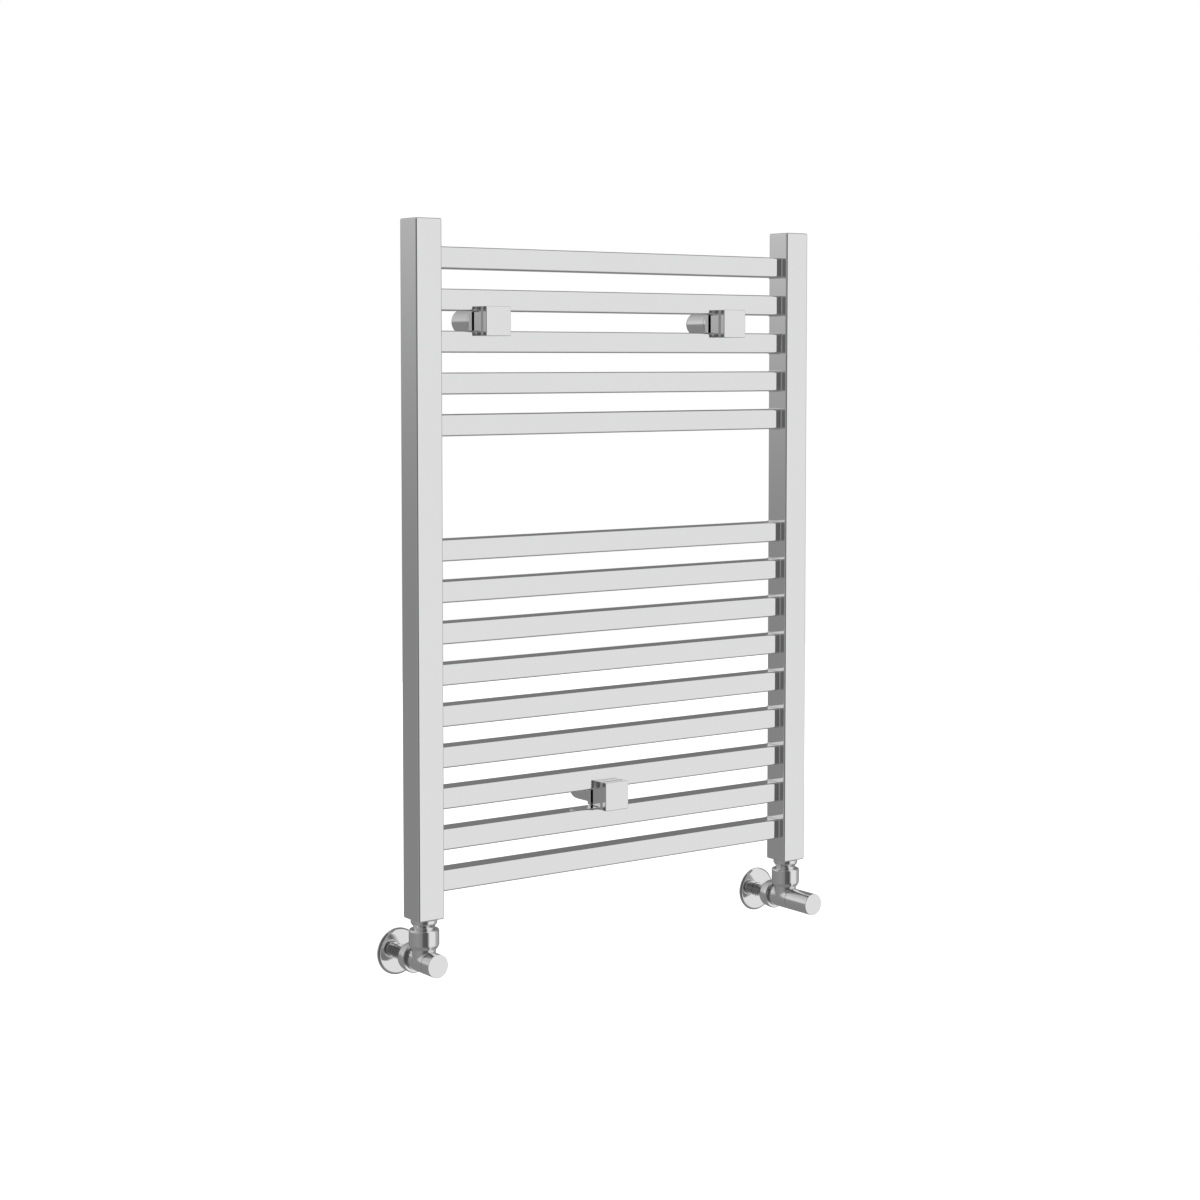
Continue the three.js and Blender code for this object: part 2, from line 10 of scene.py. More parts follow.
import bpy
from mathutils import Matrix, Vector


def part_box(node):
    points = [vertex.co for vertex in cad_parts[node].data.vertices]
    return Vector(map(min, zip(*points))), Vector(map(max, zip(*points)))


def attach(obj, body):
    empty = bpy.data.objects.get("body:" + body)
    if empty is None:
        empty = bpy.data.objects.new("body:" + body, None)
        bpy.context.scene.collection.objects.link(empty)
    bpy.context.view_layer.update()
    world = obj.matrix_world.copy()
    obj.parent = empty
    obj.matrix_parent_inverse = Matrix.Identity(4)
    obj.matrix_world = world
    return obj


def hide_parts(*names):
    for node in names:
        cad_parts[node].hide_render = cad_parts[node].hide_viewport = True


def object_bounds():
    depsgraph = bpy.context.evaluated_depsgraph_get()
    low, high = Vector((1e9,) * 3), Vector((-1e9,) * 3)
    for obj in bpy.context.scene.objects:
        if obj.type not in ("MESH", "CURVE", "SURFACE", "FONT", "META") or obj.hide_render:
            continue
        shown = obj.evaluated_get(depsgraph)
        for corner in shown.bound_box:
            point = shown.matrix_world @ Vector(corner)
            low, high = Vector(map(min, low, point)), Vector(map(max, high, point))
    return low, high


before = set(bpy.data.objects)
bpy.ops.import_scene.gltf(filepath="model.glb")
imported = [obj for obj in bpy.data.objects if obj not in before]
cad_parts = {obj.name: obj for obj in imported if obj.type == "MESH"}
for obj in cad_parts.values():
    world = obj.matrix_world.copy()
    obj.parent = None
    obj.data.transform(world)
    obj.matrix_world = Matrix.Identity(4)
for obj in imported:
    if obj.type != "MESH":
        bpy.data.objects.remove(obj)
cad_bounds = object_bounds()

# %% [markdown]
# ## Units and helpers for sizes
#
# Blender works in metres, and a fitter thinks in millimetres, so sizes are written as a number
# times MM. A piece takes its place from the frame: the box round the part that it stands for
# gives its ends, its middle and its radius, and nothing is placed by eye.

# %% Sizes and places
import math

import bmesh
import bpy
from mathutils import Vector

MM = 0.001
SIDES = ("left", "right")
BRACKETS = ("upper_left", "upper_right", "lower")


def middle_of(node):
    """The middle of a node's box."""
    low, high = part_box(node)
    return (low + high) / 2


def measured(node):
    """A node's lowest and highest corners, and half of its width."""
    low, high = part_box(node)
    return low, high, (high.x - low.x) / 2


print("an upright is", round(measured("left_upright")[2] * 2 / MM, 1), "mm wide")

# %% [markdown]
# ## The camera
#
# A product picture of a tall flat thing is often taken with a long lens, level with the upper
# part of the object, so that upright edges stay upright. The camera looks almost level and is
# shifted down, as a view camera is. A tilt in place of the shift would make the uprights lean,
# and a shift with no tilt at all would crop the top when the camera is moved to another side.

# %% Camera
LENS_MM = 70.05
CAMERA_PLACE = (-1.4406, -1.9922, 0.5508)
CAMERA_TURN = 36.21
CAMERA_TILT = 3.53
FRAME_DROP = -0.08

camera_data = bpy.data.cameras.new("camera")
camera_data.lens = LENS_MM
camera_data.sensor_width = 36
camera_data.shift_y = FRAME_DROP
camera = bpy.data.objects.new("camera", camera_data)
camera.location = CAMERA_PLACE
camera.rotation_euler = (math.radians(90 - CAMERA_TILT), 0, math.radians(-CAMERA_TURN))
bpy.context.scene.collection.objects.link(camera)
bpy.context.scene.camera = camera
print("the camera stands", round(Vector(CAMERA_PLACE).length, 2), "m from the frame's origin")

# %% [markdown]
# ## The studio
#
# Chrome shows the room, so the room is designed with the same care as the object. A ring of
# soft panels stands round the radiator: a wide bright one to the right of the camera, a dark
# flag beside it that draws crisp dark lines on round work, a paler one far to the left, and
# quiet grey walls elsewhere. The panels could be real planes with emission, but planes close to
# the object would be mirrored with perspective and would have to be moved for each piece.
# Painting the ring on the world by direction alone gives every flat face one even tone, as
# panels far away would.
#
# Two rings are enough: one just above the horizon and one just below, blended across it, and
# both fade to a ceiling and a floor tone. Each ring is a ColorRamp over the angle round the
# object. The angle starts at the camera's side and grows to the right.

# %% Node helpers


def node(tree, kind, **values):
    """Adds a node. Values name its properties, or its inputs where it has such an input."""
    made = tree.nodes.new(kind)
    for name, value in values.items():
        if hasattr(made, name):
            setattr(made, name, value)
        else:
            made.inputs[name.replace("_", " ")].default_value = value
    return made


def wire(tree, source, target, socket):
    """Joins a node's first output, or an output itself, to a named or numbered input."""
    output = source if isinstance(source, bpy.types.NodeSocket) else source.outputs[0]
    tree.links.new(output, target.inputs[socket])
    return target


def maths(tree, operation, first, second=None):
    """A Math node. Each of its two inputs is a number, a node or an output."""
    made = node(tree, "ShaderNodeMath", operation=operation)
    for socket, value in ((0, first), (1, second)):
        if isinstance(value, (int, float)):
            made.inputs[socket].default_value = value
        elif value is not None:
            wire(tree, value, made, socket)
    return made


print("node helpers are ready")

# %% [markdown]
# The tones below are the ones that the chrome should show, as a screen shows them, from 0 to
# 255. A helper undoes the screen's curve and turns each tone into the light that the panel has
# to give, because chrome returns only part of what falls on it.

# %% Tones round the object
ABOVE_HORIZON = [
    (-180, 112),
    (-165, 130),
    (-150, 158),
    (-128, 176),
    (-114, 185),
    (-103, 208),
    (-85, 180),
    (-45, 150),
    (-12, 130),
    (-2, 86),
    (29, 80),
    (38, 150),
    (47, 221),
    (92, 221),
    (104, 170),
    (140, 128),
    (180, 112),
]
BELOW_HORIZON = [
    (-180, 128),
    (-165, 130),
    (-150, 132),
    (-128, 131),
    (-108, 130),
    (-85, 133),
    (-45, 140),
    (-12, 128),
    (-2, 86),
    (29, 80),
    (38, 150),
    (47, 221),
    (92, 221),
    (104, 175),
    (140, 145),
    (180, 128),
]
HORIZON_START = -7
HORIZON_END = 5
HORIZON_CURVE = 2
CEILING_TONE = 165
CEILING_START = 50
CEILING_END = 80
FLOOR_TONE = 124
FLOOR_START = -55
FLOOR_END = -18

print("the studio has", len(ABOVE_HORIZON), "marks above the horizon and", len(BELOW_HORIZON), "below")

# %% Light, ring and blend
CHROME_TINT = 0.86
SCREEN_OFFSET = 0.055
SCREEN_POWER = 2.4


def panel_light(tone):
    """The colour of the light that makes polished chrome show this screen tone."""
    linear = ((tone / 255 + SCREEN_OFFSET) / (1 + SCREEN_OFFSET)) ** SCREEN_POWER
    light = linear / CHROME_TINT
    return (light, light, light, 1)


def ring(tree, angle_share, stops):
    """A ColorRamp round the object. Each stop is an angle in degrees and a screen tone."""
    ramp = node(tree, "ShaderNodeValToRGB")
    marks = ramp.color_ramp.elements
    while len(marks) < len(stops):
        marks.new(0.5)
    for mark, (angle, tone) in zip(marks, stops):
        mark.position = (angle + 180) / 360
        mark.color = panel_light(tone)
    return wire(tree, angle_share, ramp, "Fac")


def blend_over(tree, height, start, end, low, high, curve=1):
    """Goes from one tone to another as the height in degrees goes from start to end."""
    share = node(tree, "ShaderNodeMapRange")
    share.inputs["From Min"].default_value = start
    share.inputs["From Max"].default_value = end
    wire(tree, height, share, "Value")
    mix = node(tree, "ShaderNodeMix", data_type="RGBA")
    wire(tree, maths(tree, "POWER", share, curve), mix, "Factor")
    for socket, tone in (("A", low), ("B", high)):
        colour_input = next(i for i in mix.inputs if i.name == socket and i.type == "RGBA")
        if isinstance(tone, (int, float)):
            colour_input.default_value = panel_light(tone)
        else:
            tree.links.new(tone, colour_input)
    return next(o for o in mix.outputs if o.type == "RGBA")


print("the ceiling gives a light of", round(panel_light(CEILING_TONE)[0], 3))

# %% World
studio = bpy.data.worlds.new("studio")
studio.use_nodes = True
bpy.context.scene.world = studio
sky = studio.node_tree
sky.nodes.clear()
direction = node(sky, "ShaderNodeTexCoord").outputs["Generated"]
turn = math.radians(CAMERA_TURN)
to_camera = Vector((-math.sin(turn), -math.cos(turn), 0))
to_right = Vector((math.cos(turn), -math.sin(turn), 0))
components = []
for axis in (to_right, to_camera):
    dot = node(sky, "ShaderNodeVectorMath", operation="DOT_PRODUCT")
    wire(sky, direction, dot, 0)
    dot.inputs[1].default_value = axis
    components.append(dot.outputs["Value"])
angle = maths(sky, "ARCTAN2", *components)
angle_share = maths(sky, "ADD", maths(sky, "DIVIDE", angle, 2 * math.pi), 0.5)
upward = wire(sky, direction, node(sky, "ShaderNodeSeparateXYZ"), 0).outputs["Z"]
height = maths(sky, "DEGREES", maths(sky, "ARCSINE", upward))
rings = blend_over(
    sky,
    height,
    HORIZON_START,
    HORIZON_END,
    ring(sky, angle_share, BELOW_HORIZON).outputs["Color"],
    ring(sky, angle_share, ABOVE_HORIZON).outputs["Color"],
    HORIZON_CURVE,
)
with_ceiling = blend_over(sky, height, CEILING_START, CEILING_END, rings, CEILING_TONE)
with_floor = blend_over(sky, height, FLOOR_START, FLOOR_END, FLOOR_TONE, with_ceiling)
mirrored = wire(sky, with_floor, node(sky, "ShaderNodeBackground"), "Color")
backdrop = node(sky, "ShaderNodeBackground", Color=(1, 1, 1, 1))
seen = node(sky, "ShaderNodeMixShader")
wire(sky, node(sky, "ShaderNodeLightPath").outputs["Is Camera Ray"], seen, "Fac")
wire(sky, mirrored, seen, 1)
wire(sky, backdrop, seen, 2)
wire(sky, seen, node(sky, "ShaderNodeOutputWorld"), "Surface")
bpy.context.scene.view_settings.view_transform = "Standard"
print("the studio's tree has", len(sky.nodes), "nodes")

# %% [markdown]
# The floor is a pale sheet well under the pipes. It gives its own light, so that it stays as
# pale as the backdrop, and it is kept out of reflections, because the ring already stands for
# what the chrome mirrors from below.

# %% Floor
FLOOR_DROP = 0.35
FLOOR_HALF = 4.0

floor_material = bpy.data.materials.new("pale_floor")
floor_material.use_nodes = True
floor_shader = floor_material.node_tree.nodes["Principled BSDF"]
floor_finish = {
    "Base Color": (0.9, 0.9, 0.9, 1),
    "Roughness": 0.9,
    "Emission Color": (1, 1, 1, 1),
    "Emission Strength": 0.9,
}
for name, value in floor_finish.items():
    floor_shader.inputs[name].default_value = value

floor_mesh = bpy.data.meshes.new("floor")
floor_height = cad_bounds[0].z - FLOOR_DROP
corner_signs = [(-1, -1), (1, -1), (1, 1), (-1, 1)]
floor_corners = [(x * FLOOR_HALF, y * FLOOR_HALF, floor_height) for x, y in corner_signs]
floor_mesh.from_pydata(floor_corners, [], [(0, 1, 2, 3)])
floor_mesh.materials.append(floor_material)
floor = bpy.data.objects.new("floor", floor_mesh)
floor.visible_glossy = False
bpy.context.scene.collection.objects.link(floor)
print("the floor lies", FLOOR_DROP, "m under the rosettes")

# %% [markdown]
# ## Materials
#
# Polished chrome is a metal with almost no roughness. Two things keep it from looking like a
# perfect computer mirror: the polish is not equally fine everywhere, and the plated surface
# carries a very faint waviness left by the polishing wheel. Both come from noise that reads
# Object coordinates, so the pattern belongs to the metal and stays on it when a piece moves.

# %% Material helpers


def new_material(name):
    """A material with its node tree and its Principled shader."""
    material = bpy.data.materials.new(name)
    material.use_nodes = True
    tree = material.node_tree
    return material, tree, tree.nodes["Principled BSDF"]


def object_place(tree, scale=(1, 1, 1)):
    """Object coordinates, stretched along the axes by the given scale."""
    mapping = node(tree, "ShaderNodeMapping")
    mapping.inputs["Scale"].default_value = scale
    return wire(tree, node(tree, "ShaderNodeTexCoord").outputs["Object"], mapping, "Vector")


def noise_at(tree, place, scale, detail):
    """A noise texture at a place. Its first output runs from 0 to 1."""
    made = node(tree, "ShaderNodeTexNoise")
    made.inputs["Scale"].default_value = scale
    made.inputs["Detail"].default_value = detail
    return wire(tree, place, made, "Vector")


def between(tree, share, low, high, start=0.3, end=0.7):
    """Spreads a noise over a range of numbers."""
    spread = node(tree, "ShaderNodeMapRange")
    for socket, value in (("From Min", start), ("From Max", end), ("To Min", low), ("To Max", high)):
        spread.inputs[socket].default_value = value
    return wire(tree, share, spread, "Value")


def tint_between(tree, share, dark, light):
    """A ColorRamp from one colour to another."""
    ramp = node(tree, "ShaderNodeValToRGB")
    ramp.color_ramp.elements[0].color = (*dark, 1)
    ramp.color_ramp.elements[1].color = (*light, 1)
    return wire(tree, share, ramp, "Fac")


def bump_from(tree, shader, heights, strength, distance):
    """Lets a texture's heights tilt the shader's surface."""
    bump = node(tree, "ShaderNodeBump")
    bump.inputs["Strength"].default_value = strength
    bump.inputs["Distance"].default_value = distance
    wire(tree, heights, bump, "Height")
    wire(tree, bump, shader, "Normal")


print("material helpers are ready")

# %% Chrome


def make_chrome():
    """Bright nickel and chrome plate, with a polish that varies a little."""
    material, tree, shader = new_material("polished_chrome")
    shader.inputs["Metallic"].default_value = 1
    place = object_place(tree)
    cloud = noise_at(tree, place, scale=9, detail=3)
    dark = [CHROME_TINT * share for share in (0.985, 0.986, 0.99)]
    light = [CHROME_TINT * share for share in (1.0, 1.002, 1.006)]
    wire(tree, tint_between(tree, cloud, dark, light), shader, "Base Color")
    smears = noise_at(tree, place, scale=60, detail=4)
    wire(tree, between(tree, smears, low=0.035, high=0.075), shader, "Roughness")
    waves = noise_at(tree, place, scale=45, detail=1)
    bump_from(tree, shader, waves, strength=0.05, distance=0.2 * MM)
    return material


chrome = make_chrome()
print("made", chrome.name)

# %% [markdown]
# Three more finishes are on the small parts. The valves' bonnets and spindles are turned brass:
# the tool leaves fine rings round the axis, so the noise is squeezed along that axis, which
# points to the wall. Screws are zinc plated steel, which is paler and blotchy. The discs that
# close the valves are black rubber with a faint grain.

# %% Brass, zinc and rubber


def make_brass():
    """Turned brass with fine tool rings and a few darker patches."""
    material, tree, shader = new_material("turned_brass")
    shader.inputs["Metallic"].default_value = 1
    patches = noise_at(tree, object_place(tree), scale=180, detail=3)
    tint = tint_between(tree, patches, dark=(0.52, 0.36, 0.13), light=(0.78, 0.6, 0.28))
    wire(tree, tint, shader, "Base Color")
    along_axis = object_place(tree, scale=(0.02, 1, 0.02))
    tool_rings = noise_at(tree, along_axis, scale=6000, detail=2)
    wire(tree, between(tree, tool_rings, low=0.2, high=0.38), shader, "Roughness")
    bump_from(tree, shader, tool_rings, strength=0.35, distance=0.03 * MM)
    return material


def make_zinc():
    """Zinc plated steel: cool, pale and a little blotchy."""
    material, tree, shader = new_material("zinc_plated_steel")
    shader.inputs["Metallic"].default_value = 1
    blotches = noise_at(tree, object_place(tree), scale=400, detail=4)
    tint = tint_between(tree, blotches, dark=(0.42, 0.44, 0.47), light=(0.66, 0.68, 0.7))
    wire(tree, tint, shader, "Base Color")
    wire(tree, between(tree, blotches, low=0.25, high=0.45), shader, "Roughness")
    bump_from(tree, shader, blotches, strength=0.2, distance=0.05 * MM)
    return material


def make_rubber():
    """Black sealing rubber with a fine dull grain."""
    material, tree, shader = new_material("seal_rubber")
    grain = noise_at(tree, object_place(tree), scale=1500, detail=5)
    tint = tint_between(tree, grain, dark=(0.012, 0.012, 0.014), light=(0.03, 0.03, 0.033))
    wire(tree, tint, shader, "Base Color")
    wire(tree, between(tree, grain, low=0.6, high=0.85), shader, "Roughness")
    bump_from(tree, shader, grain, strength=0.4, distance=0.05 * MM)
    return material


brass = make_brass()
zinc = make_zinc()
rubber = make_rubber()
print("made", brass.name, zinc.name, rubber.name)

# %% [markdown]
# ## From a mesh to a finished piece
#
# A finished piece needs four things: smooth shading that stays crisp at real corners, flat
# faces that mirror flatly, a material, and a body to ride on. Smooth shading alone makes a flat
# face next to a rounded edge look swollen, which ruins chrome. The Weighted Normal modifier
# cures that: a large face pulls the normals at its rim its own way, and the narrow rounded edge
# takes up the whole turn.

# %% Finishing helper
CRISP_ANGLE = 32
finished = []


def linked(name, mesh):
    """An object in the scene for a mesh."""
    made = bpy.data.objects.new(name, mesh)
    bpy.context.scene.collection.objects.link(made)
    return made


def settled(made):
    """Turns an object's modifiers into plain mesh."""
    graph = bpy.context.evaluated_depsgraph_get()
    mesh = bpy.data.meshes.new_from_object(made.evaluated_get(graph))
    made.modifiers.clear()
    made.data = mesh
    return made


def finish_piece(made, body, nodes, material):
    """Shades a piece, gives it its material, and lets it stand for its nodes on their body."""
    mesh = made.data
    mesh.materials.clear()
    mesh.materials.append(material)
    mesh.shade_smooth()
    mesh.set_sharp_from_angle(angle=math.radians(CRISP_ANGLE))
    weighted = made.modifiers.new("flat_faces_stay_flat", "WEIGHTED_NORMAL")
    weighted.keep_sharp = True
    settled(made)
    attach(made, body)
    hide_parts(*nodes)
    finished.append(made)
    return made


print("pieces will keep edges sharper than", CRISP_ANGLE, "degrees crisp")

# %% [markdown]
# ## Three ways to make a shape
#
# Most of the fittings are turned on a lathe, so the first helper is a lathe: it takes an outline
# of corners, each with a radius, a place along the axis, and how far its corner is softened. A
# soft corner becomes a short curve. The second helper lofts softened rectangles, for square
# work. The third cuts or joins two meshes, for holes and for the tee of a valve's body.

# %% Lathe
LATHE_STEPS = 96
SOFT_STEPS = 5
SOFT_LIMIT = 0.48


def beside_axis(axis, centre, across, aside, along):
    """A point beside an axis that goes through a centre, to the wall (Y) or upwards (Z)."""
    if axis == "Y":
        return (centre.x + across, along, centre.z + aside)
    return (centre.x + across, centre.y + aside, along)


def softened(corners, closed):
    """Replaces each corner that has a softness by a curve that starts that far before it."""
    points = []
    count = len(corners)
    for index, (radius, along, softness) in enumerate(corners):
        corner = Vector((radius, along))
        at_end = not closed and index in (0, count - 1)
        if softness == 0 or at_end:
            points.append(corner)
            continue
        before = Vector(corners[index - 1][:2]) - corner
        after = Vector(corners[(index + 1) % count][:2]) - corner
        start = corner + before.normalized() * min(softness, before.length * SOFT_LIMIT)
        end = corner + after.normalized() * min(softness, after.length * SOFT_LIMIT)
        for step in range(SOFT_STEPS + 1):
            share = step / SOFT_STEPS
            points.append(start.lerp(corner, share).lerp(corner.lerp(end, share), share))
    return points


def turned(name, corners, centre, axis="Y", steps=LATHE_STEPS, closed=True):
    """Round work about an axis through a centre. An open outline starts and ends on the axis."""
    work = bmesh.new()
    rows = []
    for radius, along in softened(corners, closed):
        count = steps if radius > 0 else 1
        row = []
        for step in range(count):
            angle = 2 * math.pi * step / steps
            across = radius * math.cos(angle)
            aside = radius * math.sin(angle)
            row.append(work.verts.new(beside_axis(axis, centre, across, aside, along)))
        rows.append(row)
    pairs = list(zip(rows, rows[1:]))
    if closed:
        pairs.append((rows[-1], rows[0]))
    for row, other in pairs:
        for step in range(steps):
            corners_of_face = [
                row[step % len(row)],
                row[(step + 1) % len(row)],
                other[(step + 1) % len(other)],
                other[step % len(other)],
            ]
            face = list(dict.fromkeys(corners_of_face))
            if len(face) > 2:
                work.faces.new(face)
    return mesh_object(name, work)


def mesh_object(name, work):
    """Ends the work on a bmesh: faces point outwards, and it becomes an object."""
    bmesh.ops.recalc_face_normals(work, faces=work.faces)
    mesh = bpy.data.meshes.new(name)
    work.to_mesh(mesh)
    work.free()
    return linked(name, mesh)


print("the lathe divides round work in", LATHE_STEPS)

# %% Loft and boolean
CORNER_STEPS = 6
LEAST_CORNER = 0.1 * MM
PAST = 1 * MM


def rectangle_ring(half_width, half_depth, corner):
    """Points round a rectangle with round corners, centred on nothing."""
    points = []
    for quarter, (x, y) in enumerate([(1, 1), (-1, 1), (-1, -1), (1, -1)]):
        for step in range(CORNER_STEPS + 1):
            angle = math.pi / 2 * (quarter + step / CORNER_STEPS)
            across = x * (half_width - corner) + corner * math.cos(angle)
            aside = y * (half_depth - corner) + corner * math.sin(angle)
            points.append((across, aside))
    return points


def edge_sections(half_width, half_depth, corner, outside, inside, edge):
    """Sections that round one end: from the face at outside to full size towards inside."""
    away = 1 if inside > outside else -1
    sections = []
    for step in range(SOFT_STEPS + 1):
        angle = math.pi / 2 * step / SOFT_STEPS
        inset = edge * (1 - math.sin(angle))
        along = outside + away * edge * (1 - math.cos(angle))
        kept_corner = max(corner - inset, LEAST_CORNER)
        sections.append((half_width - inset, half_depth - inset, kept_corner, along))
    return sections


def lofted(name, sections, centre, axis):
    """Square work along an axis. Each section is two half sizes, a corner and a place."""
    work = bmesh.new()
    rows = []
    for half_width, half_depth, corner, along in sections:
        row = []
        for across, aside in rectangle_ring(half_width, half_depth, corner):
            row.append(work.verts.new(beside_axis(axis, centre, across, aside, along)))
        rows.append(row)
    for row, other in zip(rows, rows[1:]):
        for step in range(len(row)):
            following = (step + 1) % len(row)
            work.faces.new((row[step], row[following], other[following], other[step]))
    work.faces.new(rows[0])
    work.faces.new(rows[-1])
    return mesh_object(name, work)


def boolean(made, tool, operation="DIFFERENCE"):
    """Cuts one object by another or joins them, and throws the tool away."""
    change = made.modifiers.new(operation.lower(), "BOOLEAN")
    change.operation = operation
    change.solver = "EXACT"
    change.object = tool
    settled(made)
    bpy.data.objects.remove(tool)
    return made


def straight(radius, start, end, start_edge=0, end_edge=0, inside=0):
    """The outline of a plain round bar, or of a tube where it has an inside radius."""
    return [
        (inside, start, 0),
        (radius, start, start_edge),
        (radius, end, end_edge),
        (inside, end, 0),
    ]


def rod(radius, start, end, centre, axis="Y", steps=LATHE_STEPS):
    """A plain round bar. As a drill, it starts a little past the face, so no skin is left."""
    return turned("drill", straight(radius, start, end), centre, axis, steps, closed=False)


print("square work has", CORNER_STEPS, "steps at each corner")

# %% [markdown]
# ## The uprights
#
# Each upright is a 30 mm square steel tube with a plate welded on each end. On the real object
# the weld is ground flush before plating, so that tube and plates look like one piece with
# softened ends, and one piece is what is made here. The hole for the valve's tailpiece is cut
# in its foot, and the left one has the air vent's hole in its back.

# %% Uprights
TUBE_CORNER = 2 * MM
END_EDGE = 1.6 * MM
TAIL_HOLE = 9.5 * MM
VENT_HOLE = 9.3 * MM


def make_upright(side):
    """One upright with its end plates, from foot to top."""
    tube_low, tube_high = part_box(f"{side}_upright")
    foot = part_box(f"{side}_bottom_plate")[0].z
    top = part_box(f"{side}_top_plate")[1].z
    half_width = (tube_high.x - tube_low.x) / 2
    half_depth = (tube_high.y - tube_low.y) / 2
    size = (half_width, half_depth, TUBE_CORNER)
    sections = edge_sections(*size, foot, top, END_EDGE)
    sections += reversed(edge_sections(*size, top, foot, END_EDGE))
    made = lofted(f"upright_tube_{side}", sections, middle_of(f"{side}_upright"), "Z")
    tail_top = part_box(f"{side}_tailpiece")[1].z
    boolean(made, rod(TAIL_HOLE, foot - PAST, tail_top + PAST, middle_of(f"{side}_tailpiece"), "Z"))
    if side == "left":
        vent_low, vent_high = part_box("vent_plug")
        boolean(made, rod(VENT_HOLE, vent_low.y - PAST, vent_high.y + PAST, middle_of("vent_plug")))
    nodes = [f"{side}_upright", f"{side}_top_plate", f"{side}_bottom_plate"]
    return finish_piece(made, "radiator", nodes, chrome)


for side in SIDES:
    upright = make_upright(side)
    print(upright.name, "has", len(upright.data.polygons), "faces")

# %% [markdown]
# ## The crossbars, with Geometry Nodes
#
# Fourteen bars are the same, and they stand at one step apart with a wide space where two are
# left out. That is a rule, so Geometry Nodes make them: one bar is a round-cornered outline
# swept along a line, two short rows of points say where bars go, and one bar is instanced on
# every point. Where a bar meets an upright, the weld leaves a small hollow fillet. The line's
# points crowd towards its two ends, and the outline swells there by a quarter circle's rule.

# %% Crossbar tree
INPUTS = {
    "NodeSocketFloat": ("Length", "Depth", "Height", "Corner", "Fillet", "Step"),
    "NodeSocketInt": ("Upper Count", "Lower Count"),
    "NodeSocketVector": ("Upper Place", "Lower Place"),
    "NodeSocketMaterial": ("Material",),
}
SWEEP_POINTS = 41


def crossbar_tree():
    """The node tree that makes all the bars from their sizes, counts and places."""
    tree = bpy.data.node_groups.new("crossbars", "GeometryNodeTree")
    for kind, names in INPUTS.items():
        for name in names:
            tree.interface.new_socket(name, in_out="INPUT", socket_type=kind)
    tree.interface.new_socket("Geometry", in_out="OUTPUT", socket_type="NodeSocketGeometry")
    given = node(tree, "NodeGroupInput").outputs

    # The sweep line: its points crowd to both ends by the cube of their distance from them.
    line = node(tree, "GeometryNodeCurvePrimitiveLine")
    line.inputs["Start"].default_value = (-0.5, 0, 0)
    line.inputs["End"].default_value = (0.5, 0, 0)
    points = wire(tree, line, node(tree, "GeometryNodeResampleCurve"), "Curve")
    points.inputs["Count"].default_value = SWEEP_POINTS
    share = node(tree, "GeometryNodeSplineParameter").outputs["Factor"]
    signed = maths(tree, "SUBTRACT", maths(tree, "MULTIPLY", share, 2.0), 1.0)
    inward = maths(tree, "SUBTRACT", 1.0, maths(tree, "ABSOLUTE", signed))
    half_length = maths(tree, "MULTIPLY", given["Length"], 0.5)
    from_end = maths(tree, "MULTIPLY", maths(tree, "POWER", inward, 3.0), half_length)
    reach = maths(tree, "SUBTRACT", half_length, from_end)
    across = maths(tree, "MULTIPLY", maths(tree, "SIGN", signed), reach)
    place = wire(tree, across, node(tree, "ShaderNodeCombineXYZ"), "X")
    moved = wire(tree, points, node(tree, "GeometryNodeSetPosition"), "Geometry")
    wire(tree, place, moved, "Position")

    # The weld fillet: a quarter circle, as a swelling of the outline near the ends. On the
    # moved line the factor already tells the true length, so the distance needs no cube here.
    true_distance = maths(tree, "MULTIPLY", inward, half_length)
    short_of = maths(tree, "SUBTRACT", given["Fillet"], true_distance)
    remaining = maths(tree, "MAXIMUM", short_of, 0.0)
    fillet_square = maths(tree, "POWER", given["Fillet"], 2.0)
    remaining_square = maths(tree, "POWER", remaining, 2.0)
    drop = maths(tree, "SQRT", maths(tree, "SUBTRACT", fillet_square, remaining_square))
    swell = maths(tree, "SUBTRACT", given["Fillet"], drop)
    half_height = maths(tree, "MULTIPLY", given["Height"], 0.5)
    scale = maths(tree, "ADD", maths(tree, "DIVIDE", swell, half_height), 1.0)

    outline = node(tree, "GeometryNodeCurvePrimitiveQuadrilateral")
    wire(tree, given["Depth"], outline, "Width")
    wire(tree, given["Height"], outline, "Height")
    rounded = node(tree, "GeometryNodeFilletCurve", mode="POLY")
    rounded.inputs["Count"].default_value = CORNER_STEPS
    wire(tree, outline, rounded, "Curve")
    wire(tree, given["Corner"], rounded, "Radius")
    bar = node(tree, "GeometryNodeCurveToMesh")
    bar.inputs["Fill Caps"].default_value = True
    wire(tree, moved, bar, "Curve")
    wire(tree, rounded, bar, "Profile Curve")
    wire(tree, scale, bar, "Scale")

    # Two rows of points going down, and one bar on every point.
    step_down = maths(tree, "MULTIPLY", given["Step"], -1.0)
    down = wire(tree, step_down, node(tree, "ShaderNodeCombineXYZ"), "Z")
    both = node(tree, "GeometryNodeJoinGeometry")
    for row in ("Upper", "Lower"):
        points_down = node(tree, "GeometryNodeMeshLine")
        wire(tree, given[row + " Count"], points_down, "Count")
        wire(tree, given[row + " Place"], points_down, "Start Location")
        wire(tree, down, points_down, "Offset")
        wire(tree, points_down, both, "Geometry")
    bars = wire(tree, both, node(tree, "GeometryNodeInstanceOnPoints"), "Points")
    wire(tree, bar, bars, "Instance")
    real = wire(tree, bars, node(tree, "GeometryNodeRealizeInstances"), "Geometry")
    coated = wire(tree, real, node(tree, "GeometryNodeSetMaterial"), "Geometry")
    wire(tree, given["Material"], coated, "Material")
    wire(tree, coated, node(tree, "NodeGroupOutput"), 0)
    return tree


bar_tree = crossbar_tree()
print("the crossbar tree has", len(bar_tree.nodes), "nodes")

